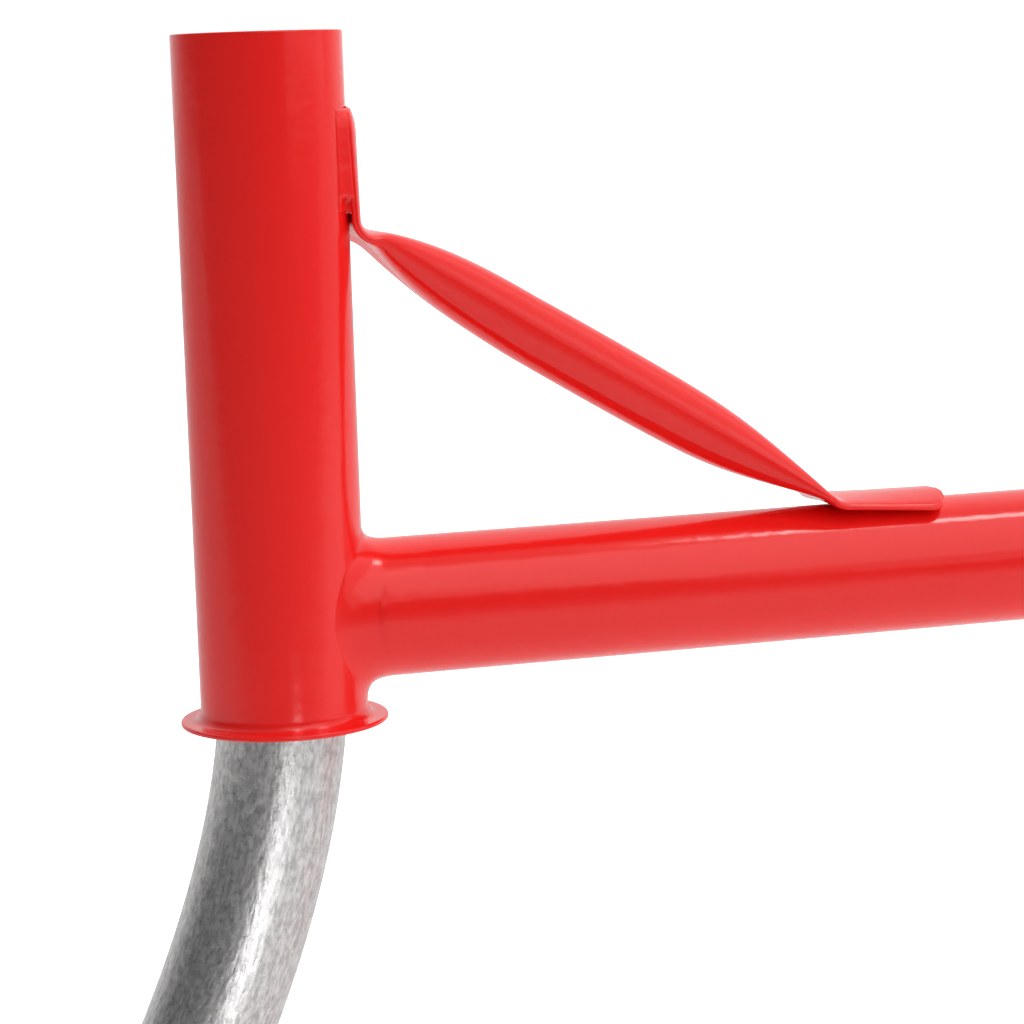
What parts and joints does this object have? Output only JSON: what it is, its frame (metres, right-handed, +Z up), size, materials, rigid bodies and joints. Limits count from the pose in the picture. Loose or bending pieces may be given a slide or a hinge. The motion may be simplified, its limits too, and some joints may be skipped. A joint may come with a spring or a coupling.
{
  "type": "kart chassis",
  "caption": "Kart chassis: lipped head tube, braced bent backbone, steered front axle beam on a bent stem, and a live rear axle in hangers.",
  "frame": {"origin": "on the floor, half way along the chassis and on its middle plane", "axes": "+X along the chassis to the rear, +Z up, so +Y is to the right of a driver who faces the front"},
  "size_m": [0.9, 0.56, 0.407],
  "materials": {
    "red_paint": "glossy red powder coat with a slight orange peel",
    "bare_steel": "bare drawn tube, mottled, with lengthwise streaks",
    "zinc_steel": "bright zinc plate",
    "black_steel": "black oxide",
    "polymer": "moulded matt black"
  },
  "bodies": {
    "frame": {"head_tube": "red_paint", "lower_head_bush": "polymer", "upper_head_bush": "polymer", "head_weld": "red_paint", "main_tube": "red_paint", "brace": "red_paint", "brace_pad_weld_left": "red_paint", "brace_pad_weld_right": "red_paint", "brace_toe_weld": "red_paint", "rear_cross_tube": "red_paint", "rear_weld": "red_paint", "rear_gusset_left": "red_paint", "rear_gusset_right": "red_paint", "axle_hanger_left": "red_paint", "axle_hanger_right": "red_paint", "axle_bush_left": "polymer", "axle_bush_right": "polymer", "seat_bracket": "red_paint"},
    "steering": {"steering_stem": "bare_steel", "stem_collar": "bare_steel", "stem_washer": "zinc_steel", "stem_circlip": "black_steel", "front_beam": "bare_steel", "stem_weld": "bare_steel", "front_gusset_left": "bare_steel", "front_gusset_right": "bare_steel", "beam_flange_left": "bare_steel", "beam_flange_right": "bare_steel", "spindle_left": "zinc_steel", "spindle_right": "zinc_steel", "spindle_washer_left": "zinc_steel", "spindle_washer_right": "zinc_steel", "spindle_nut_left": "zinc_steel", "spindle_nut_right": "zinc_steel"},
    "rear_axle": {"rear_axle": "bare_steel", "axle_collar_left": "zinc_steel", "axle_collar_right": "zinc_steel", "collar_screw_left": "black_steel", "collar_screw_right": "black_steel", "axle_key_left": "zinc_steel", "axle_key_right": "zinc_steel", "axle_circlip_left": "black_steel", "axle_circlip_right": "black_steel"}
  },
  "joints": [
    {"name": "steer", "type": "hinge", "parent": "frame", "child": "steering", "pos_m": [-0.353, 0, 0.2], "axis": [0, 0, 1], "continuous": true},
    {"name": "rear_axle_spin", "type": "hinge", "parent": "frame", "child": "rear_axle", "pos_m": [0.425, 0, 0.025], "axis": [0, 1, 0], "continuous": true}
  ]
}
